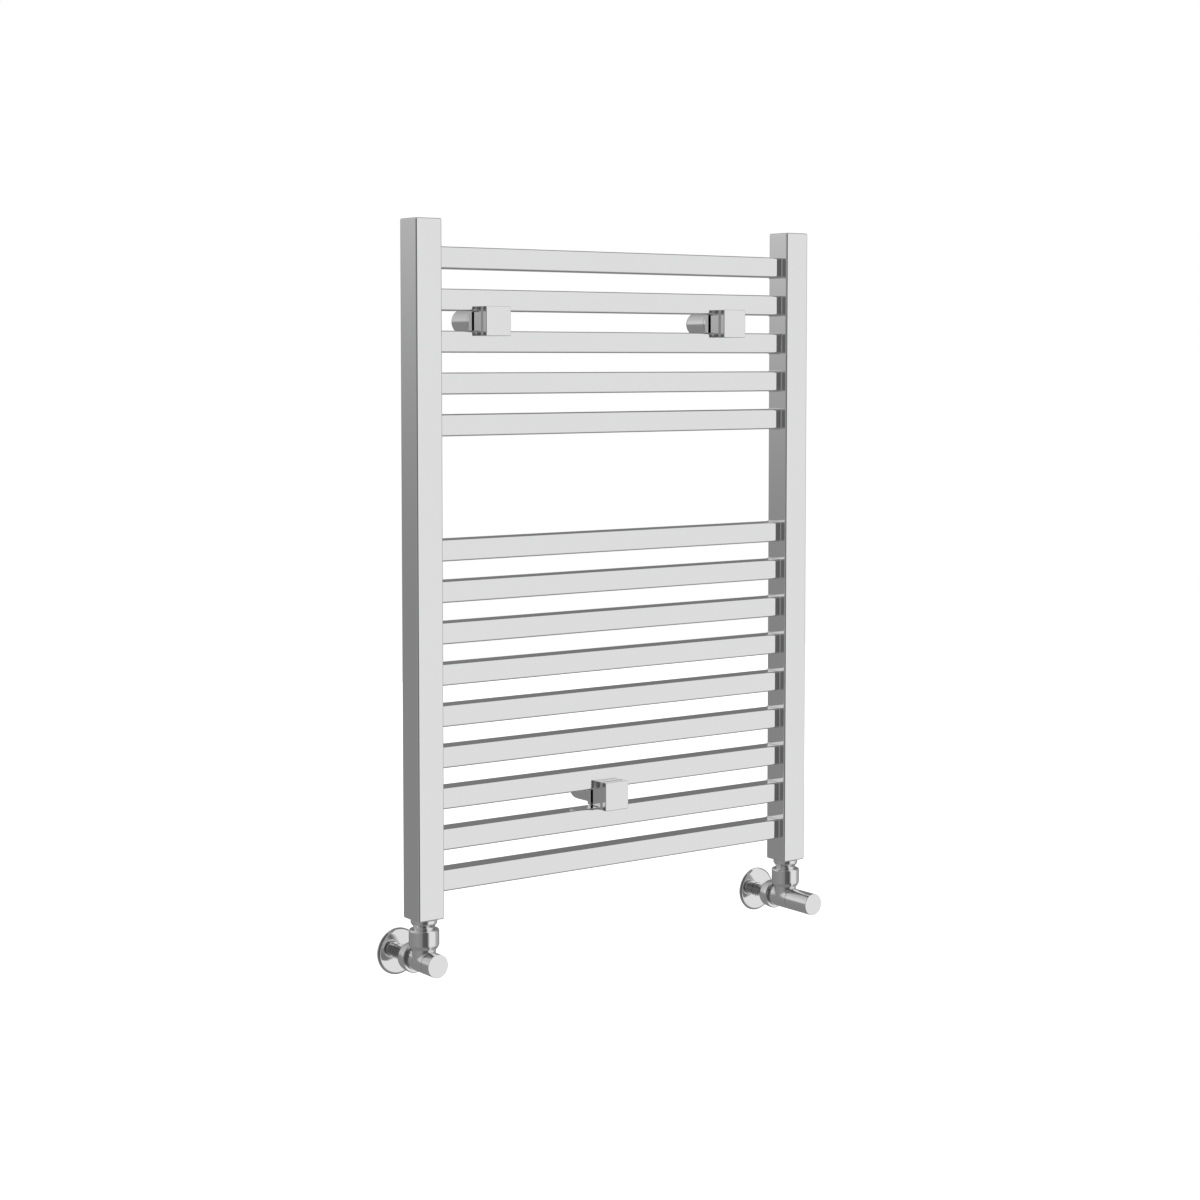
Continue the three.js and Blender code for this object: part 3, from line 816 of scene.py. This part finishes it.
# %% [markdown]
# The tree gets its numbers from the frame: the bars' own boxes give their depth, height and
# step, and the uprights' inner faces give their length. A modifier's input is set by the
# socket's identifier, and the result is settled to plain mesh before it rides on its body.

# %% Crossbars
BAR_CORNER = 2 * MM
WELD_FILLET = 0.9 * MM
BAR_NAMES = sorted(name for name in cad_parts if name.startswith("crossbar_"))
bar_heights = [middle_of(name).z for name in BAR_NAMES]
steps_down = [high - low for high, low in zip(bar_heights, bar_heights[1:])]
bar_step = min(steps_down)
upper_count = steps_down.index(max(steps_down)) + 1
bar_low, bar_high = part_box(BAR_NAMES[0])
inner_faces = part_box("right_upright")[0].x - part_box("left_upright")[1].x

bar_sizes = {
    "Length": inner_faces,
    "Depth": bar_high.y - bar_low.y,
    "Height": bar_high.z - bar_low.z,
    "Corner": BAR_CORNER,
    "Fillet": WELD_FILLET,
    "Step": bar_step,
    "Upper Count": upper_count,
    "Lower Count": len(BAR_NAMES) - upper_count,
    "Upper Place": middle_of(BAR_NAMES[0]),
    "Lower Place": middle_of(BAR_NAMES[upper_count]),
    "Material": chrome,
}
crossbars = linked("crossbars", bpy.data.meshes.new("crossbars"))
builder = crossbars.modifiers.new("crossbars", "NODES")
builder.node_group = bar_tree
for socket in bar_tree.interface.items_tree:
    if socket.in_out == "INPUT":
        builder[socket.identifier] = bar_sizes[socket.name]
settled(crossbars)
finish_piece(crossbars, "radiator", BAR_NAMES, chrome)
print("made", len(BAR_NAMES), "bars with", len(crossbars.data.polygons), "faces")

# %% [markdown]
# ## The air vent
#
# A plug screws into the back of the left upright near its top, and a small bleed screw with a
# square head turns in it. Both are turned work, and the square head is a short lofted block
# that is joined to the screw's shank.

# %% Air vent
PLUG_THREAD = 9 * MM
PLUG_FLANGE = 2.2 * MM
VENT_BORE = 2.5 * MM
VENT_MOUTH = 1.2 * MM
SCREW_SHANK = 2.2 * MM
SHANK_OVERLAP = 0.3 * MM
KEY_CORNER = 0.4 * MM
KEY_EDGE = 0.25 * MM


def make_plug():
    """The plug in the back of the left upright, with a wider mouth to its bore."""
    low, high, flange = measured("vent_plug")
    flange_front = high.y - PLUG_FLANGE
    outline = [
        (VENT_BORE, low.y, 0.3 * MM),
        (PLUG_THREAD, low.y, 0.8 * MM),
        (PLUG_THREAD, flange_front, 0),
        (flange, flange_front, 0.2 * MM),
        (flange, high.y, 0.7 * MM),
        (VENT_BORE + VENT_MOUTH, high.y, 0.4 * MM),
        (VENT_BORE, high.y - VENT_MOUTH, 0.2 * MM),
    ]
    made = turned("vent_plug_turned", outline, middle_of("vent_plug"))
    return finish_piece(made, "radiator", ["vent_plug"], chrome)


def make_bleed_screw():
    """The screw in the plug's bore, whose square head stands out of the plug."""
    low, high, half = measured("vent_screw")
    centre = middle_of("vent_plug")
    head_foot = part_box("vent_plug")[1].y
    key = (half, half, KEY_CORNER)
    sections = [(*key, head_foot), *reversed(edge_sections(*key, high.y, head_foot, KEY_EDGE))]
    made = lofted("vent_screw_turned", sections, centre, "Y")
    boolean(made, rod(SCREW_SHANK, low.y, head_foot + SHANK_OVERLAP, centre), "UNION")
    return finish_piece(made, "vent_screw", ["vent_screw"], zinc)


print("made", make_plug().name, "and", make_bleed_screw().name)

# %% [markdown]
# ## The wall brackets
#
# A cup is screwed to the wall, and a stem slides in it until a grub screw underneath locks it.
# The stem's jaw bears on the backs of two bars. A square clamp closes on the bars from the
# front, drawn back by a bolt, and a square cap hides the bolt. The cup and the screw come
# first, because the stem has to fit the cup's bore.

# %% Socket and grub screw
SOCKET_BORE = 10.3 * MM
SOCKET_BASE = 3 * MM
SOCKET_TAPER = 3.5 * MM
SOCKET_INSET = 2.2 * MM
WALL_SCREW_HOLE = 2.5 * MM
GRUB_HOLE = 2.3 * MM
GRUB_HOLE_END = 4 * MM
GRUB_KEY = 1.1 * MM
KEY_SIDES = 6
SMALL_STEPS = 48


def make_socket(name):
    """The cup on the wall, with a small hole underneath for its grub screw."""
    low, high, radius = measured(f"{name}_wall_socket")
    centre = middle_of(f"{name}_wall_socket")
    grub = middle_of(f"{name}_grub_screw")
    outline = [
        (WALL_SCREW_HOLE, high.y, 0),
        (radius - SOCKET_INSET, high.y, 0.3 * MM),
        (radius, high.y - SOCKET_TAPER, 1.2 * MM),
        (radius, low.y, 0.35 * MM),
        (SOCKET_BORE, low.y, 0.2 * MM),
        (SOCKET_BORE, high.y - SOCKET_BASE, 0),
        (WALL_SCREW_HOLE, high.y - SOCKET_BASE, 0),
    ]
    made = turned(f"wall_socket_{name}", outline, centre)
    boolean(made, rod(GRUB_HOLE, low.z - PAST, centre.z - GRUB_HOLE_END, grub, "Z", SMALL_STEPS))
    return finish_piece(made, "wall_side", [f"{name}_wall_socket"], chrome)


def make_grub(name):
    """The locking screw, with a six-sided key hole that opens downwards."""
    low, high, radius = measured(f"{name}_grub_screw")
    centre = middle_of(f"{name}_grub_screw")
    outline = straight(radius, low.z, high.z, 0.25 * MM, 0.25 * MM)
    made = turned(f"grub_screw_{name}", outline, centre, "Z", SMALL_STEPS, closed=False)
    boolean(made, rod(GRUB_KEY, low.z - PAST, (low.z + high.z) / 2, centre, "Z", KEY_SIDES))
    return finish_piece(made, "wall_side", [f"{name}_grub_screw"], zinc)


for bracket in BRACKETS:
    print("made", make_socket(bracket).name, "and", make_grub(bracket).name)

# %% [markdown]
# The stem is a turned shank with a round jaw, and a square tongue in front of the jaw comes
# between the two bars. The clamp has such a tongue on its back. A gap stays open between the
# two tongues, so that the bolt can draw them together, and it reads as a crisp dark line. A
# tongue's height is the space itself, which is read from the two bars' boxes.

# %% Stem
FIT = 0.3 * MM
JAW_THICKNESS = 3.7 * MM
TONGUE_WIDTH = 25.4 * MM
TONGUE_CORNER = 0.6 * MM
TONGUE_EDGE = 0.4 * MM
BOLT_BORE = 3.3 * MM


def bars_round(height):
    """The lower edge of the bar above a height, and the upper edge of the bar below it."""
    above = min(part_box(name)[0].z for name in BAR_NAMES if middle_of(name).z > height)
    below = max(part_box(name)[1].z for name in BAR_NAMES if middle_of(name).z < height)
    return above, below


def make_tongue(centre, end, root):
    """The block between two bars, from its free end to its root inside the piece behind it."""
    above, below = bars_round(centre.z)
    half_height = (above - below) / 2 - FIT
    middle = Vector((centre.x, centre.y, (above + below) / 2))
    size = (TONGUE_WIDTH / 2, half_height, TONGUE_CORNER)
    sections = edge_sections(*size, end, root, TONGUE_EDGE) + [(*size, root)]
    return lofted("tongue", sections, middle, "Y")


def make_stem(name):
    """The sliding stem with its rear jaw and its tongue."""
    low, high, jaw = measured(f"{name}_stem")
    centre = middle_of(f"{name}_wall_socket")
    shank = SOCKET_BORE - FIT
    jaw_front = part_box(BAR_NAMES[0])[1].y + FIT
    jaw_back = jaw_front + JAW_THICKNESS
    outline = [
        (0, high.y, 0),
        (shank, high.y, 0.5 * MM),
        (shank, jaw_back, 0),
        (jaw, jaw_back, 0.3 * MM),
        (jaw, jaw_front, 0.3 * MM),
        (0, jaw_front, 0),
    ]
    made = turned(f"bracket_stem_{name}", outline, centre, closed=False)
    boolean(made, make_tongue(centre, low.y, jaw_front + FIT), "UNION")
    bolt_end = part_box(f"{name}_clamp_bolt")[1].y
    boolean(made, rod(BOLT_BORE, low.y - PAST, bolt_end + PAST, centre, "Y", SMALL_STEPS))
    return finish_piece(made, "radiator", [f"{name}_stem"], chrome)


for bracket in BRACKETS:
    print("made", make_stem(bracket).name)

# %% [markdown]
# The clamp and the cap taper towards each other, and the V-shaped groove between them is what
# gives this bracket its look, so its edges are kept nearly sharp. Both are lofted, and a round
# well in each makes room for the bolt's head.

# %% Clamp, bolt and cap
GROOVE = 2 * MM
PLATE_CORNER = 1 * MM
PLATE_EDGE = 0.3 * MM
CAP_EDGE = 0.8 * MM
WELL_RADIUS = 5.5 * MM
BOLT_RADIUS = 3 * MM
BOLT_HEAD = 2.9 * MM
BOLT_KEY = 2.3 * MM
BOLT_KEY_DEPTH = 1.45 * MM


def groove_sections(half, start, end):
    """The taper of one side of the groove, from full size at start to its narrow end."""
    return [(half, half, PLATE_CORNER, start), (half - GROOVE, half - GROOVE, PLATE_EDGE, end)]


def make_clamp(name):
    """The square plate on the fronts of the bars, with a tongue on its back."""
    low, high, half = measured(f"{name}_clamp")
    centre = middle_of(f"{name}_clamp")
    plate_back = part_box(BAR_NAMES[0])[0].y - FIT
    back = edge_sections(half, half, PLATE_CORNER, plate_back, low.y, PLATE_EDGE)
    sections = back + groove_sections(half, low.y + GROOVE, low.y)
    made = lofted(f"bracket_clamp_{name}", sections, centre, "Y")
    boolean(made, make_tongue(centre, high.y, plate_back - PAST), "UNION")
    well_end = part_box(f"{name}_clamp_bolt")[0].y + BOLT_HEAD + FIT
    boolean(made, rod(WELL_RADIUS, low.y - PAST, well_end, centre))
    boolean(made, rod(BOLT_BORE, low.y, high.y + PAST, centre, "Y", SMALL_STEPS))
    return finish_piece(made, "radiator", [f"{name}_clamp"], chrome)


def make_bolt(name):
    """The round-headed bolt with a six-sided key hole, which the cap hides."""
    low, high, head = measured(f"{name}_clamp_bolt")
    centre = middle_of(f"{name}_clamp_bolt")
    head_back = low.y + BOLT_HEAD
    outline = [
        (0, low.y, 0),
        (head, low.y, 0.4 * MM),
        (head, head_back, 0.2 * MM),
        (BOLT_RADIUS, head_back, 0),
        (BOLT_RADIUS, high.y, 0.4 * MM),
        (0, high.y, 0),
    ]
    made = turned(f"clamp_bolt_{name}_turned", outline, centre, "Y", SMALL_STEPS, closed=False)
    boolean(made, rod(BOLT_KEY, low.y - PAST, low.y + BOLT_KEY_DEPTH, centre, "Y", KEY_SIDES))
    return finish_piece(made, "radiator", [f"{name}_clamp_bolt"], zinc)


def make_cap(name):
    """The square cap: a soft-edged face, and a taper back towards the clamp."""
    low, high, half = measured(f"{name}_cap")
    centre = middle_of(f"{name}_cap")
    face = edge_sections(half, half, PLATE_CORNER, low.y, high.y, CAP_EDGE)
    groove_start = high.y - GROOVE
    sections = face + groove_sections(half, groove_start, high.y)
    made = lofted(f"bracket_cap_{name}", sections, centre, "Y")
    boolean(made, rod(WELL_RADIUS, groove_start, high.y + PAST, centre))
    return finish_piece(made, "radiator", [f"{name}_cap"], chrome)


for bracket in BRACKETS:
    print("made", make_clamp(bracket).name, make_bolt(bracket).name, make_cap(bracket).name)

# %% [markdown]
# ## The valves
#
# Each valve is a tee. Its barrel lies along the line to the wall, its outlet stands up to the
# radiator, and a union nut pulls the radiator's tailpiece down on it. A compression nut grips
# the pipe at the back. The barrel and the outlet have almost the same radius, and on the cast
# and polished body they meet in a saddle-shaped line, which a boolean join gives exactly.

# %% Valve body
BARREL_RADIUS = 11.7 * MM
OUTLET_RADIUS = 11.8 * MM
THREAD_RADIUS = 12.4 * MM
CHAMBER_RADIUS = 8.5 * MM
OUTLET_BORE = 6.5 * MM
SEAT_BORE = 6 * MM
SEAT_BEHIND = 6 * MM
PIPE_HOLE = 7.8 * MM


def valve_centre(side):
    """Where the two axes of a valve cross."""
    tail = middle_of(f"{side}_tailpiece")
    pipe = middle_of(f"{side}_pipe")
    return Vector((tail.x, tail.y, pipe.z))


def make_body(side):
    """The tee, with its bores for the bonnet, the seat, the pipe and the outlet."""
    low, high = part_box(f"{side}_valve_body")
    centre = valve_centre(side)
    nut_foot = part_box(f"{side}_union_nut")[0].z
    pipe_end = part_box(f"{side}_pipe")[0].y
    barrel = straight(BARREL_RADIUS, low.y, high.y, 0.25 * MM, 0.25 * MM)
    made = turned(f"valve_tee_{side}", barrel, centre, closed=False)
    outlet = [
        (0, centre.z, 0),
        (OUTLET_RADIUS, centre.z, 0),
        (OUTLET_RADIUS, nut_foot, 0),
        (THREAD_RADIUS, nut_foot, 0.2 * MM),
        (THREAD_RADIUS, high.z, 0.6 * MM),
        (0, high.z, 0),
    ]
    boolean(made, turned("outlet", outlet, centre, "Z", closed=False), "UNION")
    boolean(made, rod(CHAMBER_RADIUS, low.y - PAST, centre.y + SEAT_BEHIND, centre))
    boolean(made, rod(SEAT_BORE, centre.y, high.y - PAST, centre))
    boolean(made, rod(PIPE_HOLE, pipe_end - FIT, high.y + PAST, centre))
    boolean(made, rod(OUTLET_BORE, centre.z, high.z + PAST, centre, "Z"))
    return finish_piece(made, "radiator", [f"{side}_valve_body"], chrome)


for side in SIDES:
    tee = make_body(side)
    print(tee.name, "has", len(tee.data.polygons), "faces")

# %% [markdown]
# The tailpiece and the two nuts are plain turned work, so each is one outline for the lathe.
# The tailpiece's collar narrows to a neck, the union nut has a flat top with a soft rim, and the
# compression nut tapers back along the pipe.

# %% Tailpiece, union nut and compression nut
TAIL_THREAD = 9.2 * MM
TAIL_NECK = 10.5 * MM
COLLAR_HEIGHT = 4 * MM
COLLAR_TAPER = 3.8 * MM
CONE_HEIGHT = 2 * MM
FLANGE_HEIGHT = 5.2 * MM
UNION_HOLE = 10.8 * MM
UNION_THREAD = 12.7 * MM
UNION_FOOT = 13.4 * MM
UNION_FOOT_HEIGHT = 3.5 * MM
UNION_TOP_DROP = 1.3 * MM
UNION_SHELF_DROP = 6 * MM
UNION_RIM_WIDTH = 1 * MM
UNION_RIM_DROP = 1.4 * MM
GRIP_CHAMFER = 0.8 * MM
GRIP_LENGTH = 4 * MM
TAPER_RADIUS = 14.4 * MM
TAPER_LENGTH = 8 * MM
TAPER_END = 9.4 * MM


def make_tailpiece(side):
    """Screws into the upright's foot. A chamfered collar bears on the plate."""
    low, high, collar = measured(f"{side}_tailpiece")
    centre = valve_centre(side)
    collar_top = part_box(f"{side}_bottom_plate")[0].z - FIT
    collar_foot = collar_top + FIT - COLLAR_HEIGHT
    flange_top = low.z + FLANGE_HEIGHT
    outline = [
        (OUTLET_BORE, high.z, 0),
        (TAIL_THREAD, high.z, 0.6 * MM),
        (TAIL_THREAD, collar_top, 0),
        (collar, collar_top, 0.4 * MM),
        (collar, collar_foot, 0.8 * MM),
        (TAIL_NECK, collar_foot - COLLAR_TAPER, 0.8 * MM),
        (TAIL_NECK, flange_top, 0),
        (THREAD_RADIUS, flange_top, 0.2 * MM),
        (THREAD_RADIUS, low.z + CONE_HEIGHT, 0.2 * MM),
        (TAIL_NECK, low.z, 0.2 * MM),
        (OUTLET_BORE, low.z, 0),
    ]
    made = turned(f"tailpiece_{side}", outline, centre, "Z")
    return finish_piece(made, "radiator", [f"{side}_tailpiece"], chrome)


def make_union_nut(side):
    """The nut that joins the tailpiece to the valve. It has a flat top with a soft rim."""
    low, high, radius = measured(f"{side}_union_nut")
    top = high.z - UNION_TOP_DROP
    shelf = high.z - UNION_SHELF_DROP
    outline = [
        (UNION_HOLE, top, 0.2 * MM),
        (radius - UNION_RIM_WIDTH, top, 0.5 * MM),
        (radius, top - UNION_RIM_DROP, 0.9 * MM),
        (radius, low.z + UNION_FOOT_HEIGHT, 1.1 * MM),
        (UNION_FOOT, low.z, 0.5 * MM),
        (UNION_THREAD, low.z, 0.2 * MM),
        (UNION_THREAD, shelf, 0),
        (UNION_HOLE, shelf, 0),
    ]
    made = turned(f"union_nut_{side}_turned", outline, valve_centre(side), "Z")
    return finish_piece(made, "radiator", [f"{side}_union_nut"], chrome)


def make_compression_nut(side):
    """The nut that squeezes the pipe into the barrel, and tapers back along it."""
    low, high, radius = measured(f"{side}_compression_nut")
    inside = BARREL_RADIUS + FIT
    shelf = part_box(f"{side}_valve_body")[1].y + FIT
    outline = [
        (inside, low.y, 0.2 * MM),
        (radius - GRIP_CHAMFER, low.y, 0.3 * MM),
        (radius, low.y + GRIP_CHAMFER, 0.4 * MM),
        (radius, low.y + GRIP_LENGTH, 1.5 * MM),
        (TAPER_RADIUS, high.y - TAPER_LENGTH, 2 * MM),
        (TAPER_END, high.y, 0.6 * MM),
        (PIPE_HOLE, high.y, 0.2 * MM),
        (PIPE_HOLE, shelf, 0),
        (inside, shelf, 0),
    ]
    made = turned(f"compression_nut_{side}_turned", outline, valve_centre(side))
    return finish_piece(made, "radiator", [f"{side}_compression_nut"], chrome)


for side in SIDES:
    print("made", make_tailpiece(side).name, make_union_nut(side).name, make_compression_nut(side).name)

# %% [markdown]
# The pipe comes out of the wall with a bore right through it, and the rosette slides on the
# pipe. The rosette is wide and flat, so it is turned in more steps, which keeps its rim round.

# %% Pipe and rosette
PIPE_WALL = 1 * MM
ROSETTE_RIM = 1.2 * MM
ROSETTE_CHAMFER = 2 * MM
ROSETTE_STEPS = 128


def make_pipe(side):
    """The 15 mm pipe out of the wall."""
    low, high, radius = measured(f"{side}_pipe")
    outline = straight(radius, low.y, high.y, 0.2 * MM, 0.2 * MM, inside=radius - PIPE_WALL)
    made = turned(f"supply_pipe_{side}", outline, valve_centre(side))
    return finish_piece(made, "radiator", [f"{side}_pipe"], chrome)


def make_rosette(side):
    """The plate that hides the hole round the pipe: a flat disc with a soft rim."""
    low, high, radius = measured(f"{side}_rosette")
    outline = [
        (PIPE_HOLE, high.y, 0),
        (radius, high.y, 0.2 * MM),
        (radius, high.y - ROSETTE_RIM, 0.5 * MM),
        (radius - ROSETTE_CHAMFER, low.y, 0.9 * MM),
        (PIPE_HOLE, low.y, 0.2 * MM),
    ]
    made = turned(f"rosette_{side}", outline, valve_centre(side), "Y", ROSETTE_STEPS)
    return finish_piece(made, f"{side}_rosette", [f"{side}_rosette"], chrome)


for side in SIDES:
    print("made", make_pipe(side).name, "and", make_rosette(side).name)

# %% [markdown]
# ## Inside the valves, and their heads
#
# The bonnet screws into the barrel's front and guides the spindle, which moves a rubber faced
# disc towards its seat. The left valve is the lockshield: it has a plain cap that pulls off.
# The right valve has a handwheel that is longer, and turns with its spindle.

# %% Bonnet, spindle and disc
SPINDLE_HOLE = 3.3 * MM
SPINDLE_STEPS = 64
BONNET_THREAD = 8.2 * MM
BONNET_WELL = 5.3 * MM
BONNET_WELL_DEPTH = 7 * MM
DISC_THICKNESS = 3 * MM
DISC_FACE = 1.5 * MM
DISC_STEM = 5 * MM


def make_bonnet(side):
    """The brass piece that closes the barrel round the spindle."""
    low, high, radius = measured(f"{side}_bonnet")
    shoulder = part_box(f"{side}_valve_body")[0].y - FIT
    well_front = high.y - BONNET_WELL_DEPTH
    outline = [
        (SPINDLE_HOLE, low.y, 0.2 * MM),
        (radius, low.y, 0.5 * MM),
        (radius, shoulder, 0.2 * MM),
        (BONNET_THREAD, shoulder, 0),
        (BONNET_THREAD, high.y, 0.4 * MM),
        (BONNET_WELL, high.y, 0.2 * MM),
        (BONNET_WELL, well_front, 0),
        (SPINDLE_HOLE, well_front, 0),
    ]
    made = turned(f"bonnet_{side}", outline, valve_centre(side))
    return finish_piece(made, "radiator", [f"{side}_bonnet"], brass)


def make_spindle(side, body):
    """The round spindle that opens and closes the valve."""
    low, high, radius = measured(f"{side}_spindle")
    outline = straight(radius, low.y, high.y, 0.4 * MM, 0.2 * MM)
    made = turned(f"spindle_{side}", outline, valve_centre(side), "Y", SPINDLE_STEPS, closed=False)
    return finish_piece(made, body, [f"{side}_spindle"], brass)


def make_disc(side):
    """The rubber faced disc on its hollow stem."""
    low, high, radius = measured(f"{side}_valve_disc")
    centre = valve_centre(side)
    shoulder = high.y - DISC_THICKNESS
    hole_end = high.y - DISC_FACE
    outline = [
        (0, high.y, 0),
        (radius, high.y, 0.5 * MM),
        (radius, shoulder, 0.3 * MM),
        (DISC_STEM, shoulder, 0),
        (DISC_STEM, low.y, 0.2 * MM),
        (SPINDLE_HOLE, low.y, 0),
        (SPINDLE_HOLE, hole_end, 0),
        (0, hole_end, 0),
    ]
    made = turned(f"valve_disc_{side}_turned", outline, centre, "Y", SPINDLE_STEPS, closed=False)
    return finish_piece(made, f"{side}_valve_disc", [f"{side}_valve_disc"], rubber)


for side, spindle_body in (("left", "lockshield_spindle"), ("right", "handwheel")):
    print("made", make_bonnet(side).name, make_spindle(side, spindle_body).name, make_disc(side).name)

# %% [markdown]
# Both heads are plain round cups, open at the back, whose flat fronts catch the light as one
# even tone. The cap is hollow, so that it can be pulled off its bonnet. The handwheel also has
# a hub, which holds the spindle.

# %% Heads
HEAD_WALL = 1.6 * MM
HEAD_EDGE = 0.5 * MM
HUB_DEPTH = 6.2 * MM
HUB_LENGTH = 12 * MM


def make_head(node, side, inner_corners):
    """A round cup, open at the back. Its inner corners lead from the rim to the axis."""
    low, high, radius = measured(node)
    outline = [
        (0, low.y, 0),
        (radius, low.y, HEAD_EDGE),
        (radius, high.y, 0.3 * MM),
        (radius - HEAD_WALL, high.y, 0.2 * MM),
        *inner_corners,
    ]
    made = turned(f"{node}_turned", outline, valve_centre(side), closed=False)
    return finish_piece(made, node, [node], chrome)


def make_lockshield_cap():
    """A plain round cap with a thin wall all over."""
    low, _, radius = measured("lockshield_cap")
    floor_back = low.y + HEAD_WALL
    inner_corners = [(radius - HEAD_WALL, floor_back, 0.4 * MM), (0, floor_back, 0)]
    return make_head("lockshield_cap", "left", inner_corners)


def make_handwheel():
    """The longer head, with a hub inside that grips the spindle."""
    _, high, radius = measured("handwheel")
    hub_back = high.y - HUB_DEPTH
    hub_front = hub_back - HUB_LENGTH
    inner_corners = [
        (radius - HEAD_WALL, hub_back, 0.3 * MM),
        (SPINDLE_HOLE, hub_back, 0.2 * MM),
        (SPINDLE_HOLE, hub_front, 0),
        (0, hub_front, 0),
    ]
    return make_head("handwheel", "right", inner_corners)


print("made", make_lockshield_cap().name, "and", make_handwheel().name)

# %% [markdown]
# ## The last look
#
# Every node of the frame now has a piece that stands for it, and the last cell counts the
# pieces and lists any node that is left without one. Looks never change a size.

# %% Sizes and finish
left_over = [name for name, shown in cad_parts.items() if not shown.hide_render]
print("made", len(finished), "pieces; nodes without one:", left_over)
